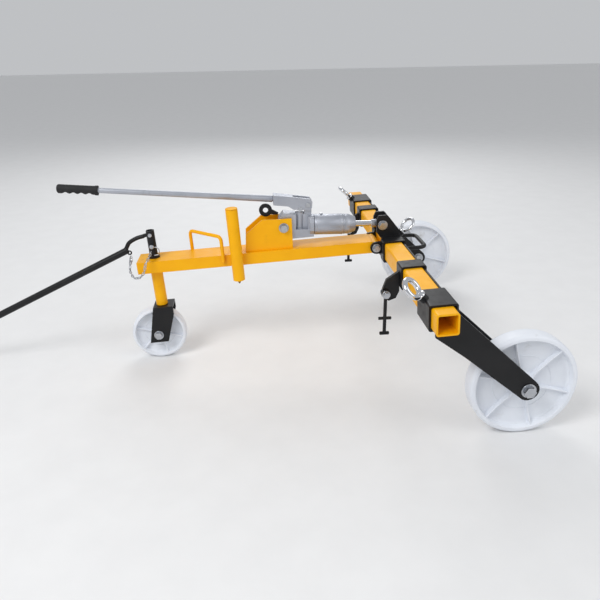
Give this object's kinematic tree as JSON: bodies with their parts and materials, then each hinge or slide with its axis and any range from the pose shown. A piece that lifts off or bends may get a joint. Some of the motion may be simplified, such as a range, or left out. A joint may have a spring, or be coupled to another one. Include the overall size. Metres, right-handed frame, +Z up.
{
  "type": "hydraulic manhole cover lifter",
  "caption": "Three-wheeled manhole cover lifter with a hand-pumped ram, sliding wheel and hook carriers, lifting keys and a drawbar.",
  "frame": {"origin": "on the floor, under the middle of the outline", "axes": "+X from the drawbar end towards the rear wheels, +Y across the machine along the cross tube to the far side, +Z up"},
  "size_m": [2.1584, 1.36, 0.6361],
  "materials": {
    "yellow_paint": "satin powder coat",
    "black_paint": "satin powder coat",
    "zinc_steel": "zinc plated",
    "chrome_steel": "polished",
    "silver_cast": "silver painted casting",
    "white_nylon": "moulded",
    "black_rubber": "matt",
    "bush_bronze": "machined",
    "rusty_steel": "bare, lightly rusted"
  },
  "bodies": {
    "main_frame": {"main_beam": "yellow_paint", "steering_column": "yellow_paint", "column_bush_upper": "bush_bronze", "column_bush_lower": "bush_bronze", "beam_handle": "yellow_paint", "tool_post": "yellow_paint", "post_cap": "yellow_paint", "post_point": "rusty_steel", "bracket_plate_near": "yellow_paint", "bracket_plate_far": "yellow_paint", "bracket_bolt": "zinc_steel"},
    "rear_frame": {"cross_tube": "yellow_paint", "rear_rail": "black_paint", "centre_bracket": "black_paint", "pivot_bolt": "zinc_steel", "lug_bolt": "zinc_steel", "rear_handle": "black_paint"},
    "ram_body": {"pump_block": "silver_cast", "ram_cylinder": "silver_cast", "cylinder_gland": "silver_cast", "bleed_screw": "zinc_steel"},
    "ram_rod_body": {"ram_rod": "chrome_steel", "rod_eye": "zinc_steel"},
    "pump_lever": {"lever_socket": "silver_cast", "lever_tube": "silver_cast", "lever_grip": "black_rubber", "fulcrum_pin": "zinc_steel", "link_pin": "zinc_steel"},
    "pump_piston_body": {"pump_piston": "chrome_steel"},
    "release_key_body": {"release_key": "black_paint"},
    "centre_eye_body": {"centre_eye_bolt": "chrome_steel"},
    "steering": {"steering_fork": "black_paint", "steering_spindle": "zinc_steel", "front_axle": "zinc_steel", "drawbar_sleeve": "black_paint", "drawbar_pin": "zinc_steel", "lynch_pin": "zinc_steel", "pin_chain": "zinc_steel"},
    "front_wheel_body": {"front_wheel": "white_nylon"},
    "drawbar_body": {"drawbar": "black_paint", "drawbar_grip": "black_rubber"},
    "wheel_carrier_near": {"wheel_sleeve_near": "black_paint", "wheel_arm_near": "black_paint", "wheel_axle_near": "zinc_steel"},
    "clamp_eye_near": {"clamp_eye_bolt_near": "chrome_steel"},
    "rear_wheel_body_near": {"rear_wheel_near": "white_nylon"},
    "hook_carrier_near": {"hook_sleeve_near": "black_paint", "hook_arm_near": "black_paint", "hook_bolt_near": "zinc_steel"},
    "lifting_key_body_near": {"lifting_key_near": "black_paint"},
    "wheel_carrier_far": {"wheel_sleeve_far": "black_paint", "wheel_arm_far": "black_paint", "wheel_axle_far": "zinc_steel"},
    "clamp_eye_far": {"clamp_eye_bolt_far": "chrome_steel"},
    "rear_wheel_body_far": {"rear_wheel_far": "white_nylon"},
    "hook_carrier_far": {"hook_sleeve_far": "black_paint", "hook_arm_far": "black_paint", "hook_bolt_far": "zinc_steel"},
    "lifting_key_body_far": {"lifting_key_far": "black_paint"}
  },
  "joints": [
    {"name": "frame_hinge", "type": "hinge", "parent": "main_frame", "child": "rear_frame", "pos_m": [0.6147, 0, 0.3923], "axis": [0, 1, 0], "range_deg": [-20, 12]},
    {"name": "ram_tilt", "type": "hinge", "parent": "main_frame", "child": "ram_body", "pos_m": [0.30132, 0, 0.46927], "axis": [0, 1, 0], "range_deg": [-1.22, 0.77]},
    {"name": "rod_slide", "type": "slide", "parent": "ram_body", "child": "ram_rod_body", "axis": [0.9998, 0, -0.0194], "range_m": [-0.02546, 0.01547]},
    {"name": "lever_hinge", "type": "hinge", "parent": "ram_body", "child": "pump_lever", "pos_m": [0.38571, 0, 0.53965], "axis": [0, 1, 0], "range_deg": [0, 50]},
    {"name": "piston_slide", "type": "slide", "parent": "ram_body", "child": "pump_piston_body", "axis": [0.0194, 0, 0.9998], "range_m": [0, 0.02384]},
    {"name": "release_turn", "type": "hinge", "parent": "ram_body", "child": "release_key_body", "pos_m": [0.2851, 0, 0.50959], "axis": [-0.9505, 0, 0.3109], "range_deg": [-90, 90]},
    {"name": "centre_eye_turn", "type": "hinge", "parent": "rear_frame", "child": "centre_eye_body", "pos_m": [0.70292, -0.01, 0.42338], "axis": [0.6698, 0, 0.7426], "range_deg": [-90, 90]},
    {"name": "steering_turn", "type": "hinge", "parent": "main_frame", "child": "steering", "pos_m": [-0.13732, 0, 0.26643], "axis": [-0.0515, 0, 0.9987], "range_deg": [-55, 55]},
    {"name": "front_wheel_spin", "type": "hinge", "parent": "steering", "child": "front_wheel_body", "pos_m": [-0.15151, 0, 0.09498], "axis": [0, 1, 0], "continuous": true},
    {"name": "drawbar_hinge", "type": "hinge", "parent": "steering", "child": "drawbar_body", "pos_m": [-0.14704, 0, 0.45518], "axis": [0, 1, 0], "range_deg": [0, 45]},
    {"name": "wheel_carrier_slide_near", "type": "slide", "parent": "rear_frame", "child": "wheel_carrier_near", "axis": [0, 1, 0], "range_m": [-0.03, 0.08]},
    {"name": "clamp_eye_turn_near", "type": "hinge", "parent": "wheel_carrier_near", "child": "clamp_eye_near", "pos_m": [0.63181, -0.581, 0.41971], "axis": [-0.7426, 0, 0.6698], "range_deg": [-90, 90]},
    {"name": "rear_wheel_spin_near", "type": "hinge", "parent": "wheel_carrier_near", "child": "rear_wheel_body_near", "pos_m": [0.92538, -0.581, 0.15397], "axis": [0, 1, 0], "continuous": true},
    {"name": "hook_carrier_slide_near", "type": "slide", "parent": "rear_frame", "child": "hook_carrier_near", "axis": [0, 1, 0], "range_m": [-0.08, 0.15]},
    {"name": "key_swing_near", "type": "hinge", "parent": "hook_carrier_near", "child": "lifting_key_body_near", "pos_m": [0.58972, -0.3293, 0.33293], "axis": [0, 1, 0], "range_deg": [-60, 60]},
    {"name": "wheel_carrier_slide_far", "type": "slide", "parent": "rear_frame", "child": "wheel_carrier_far", "axis": [0, 1, 0], "range_m": [-0.02, 0.06]},
    {"name": "clamp_eye_turn_far", "type": "hinge", "parent": "wheel_carrier_far", "child": "clamp_eye_far", "pos_m": [0.63181, 0.547, 0.41971], "axis": [-0.7426, 0, 0.6698], "range_deg": [-90, 90]},
    {"name": "rear_wheel_spin_far", "type": "hinge", "parent": "wheel_carrier_far", "child": "rear_wheel_body_far", "pos_m": [0.92538, 0.547, 0.15397], "axis": [0, 1, 0], "continuous": true},
    {"name": "hook_carrier_slide_far", "type": "slide", "parent": "rear_frame", "child": "hook_carrier_far", "axis": [0, 1, 0], "range_m": [-0.15, 0.02]},
    {"name": "key_swing_far", "type": "hinge", "parent": "hook_carrier_far", "child": "lifting_key_body_far", "pos_m": [0.58972, 0.3667, 0.33293], "axis": [0, 1, 0], "range_deg": [-60, 60]}
  ],
  "couplings": [
    {"joint": "ram_tilt", "follows": "frame_hinge", "ratio": 0.056},
    {"joint": "rod_slide", "follows": "frame_hinge", "m_per_rad": 0.0715},
    {"joint": "piston_slide", "follows": "lever_hinge", "m_per_rad": 0.02709}
  ]
}
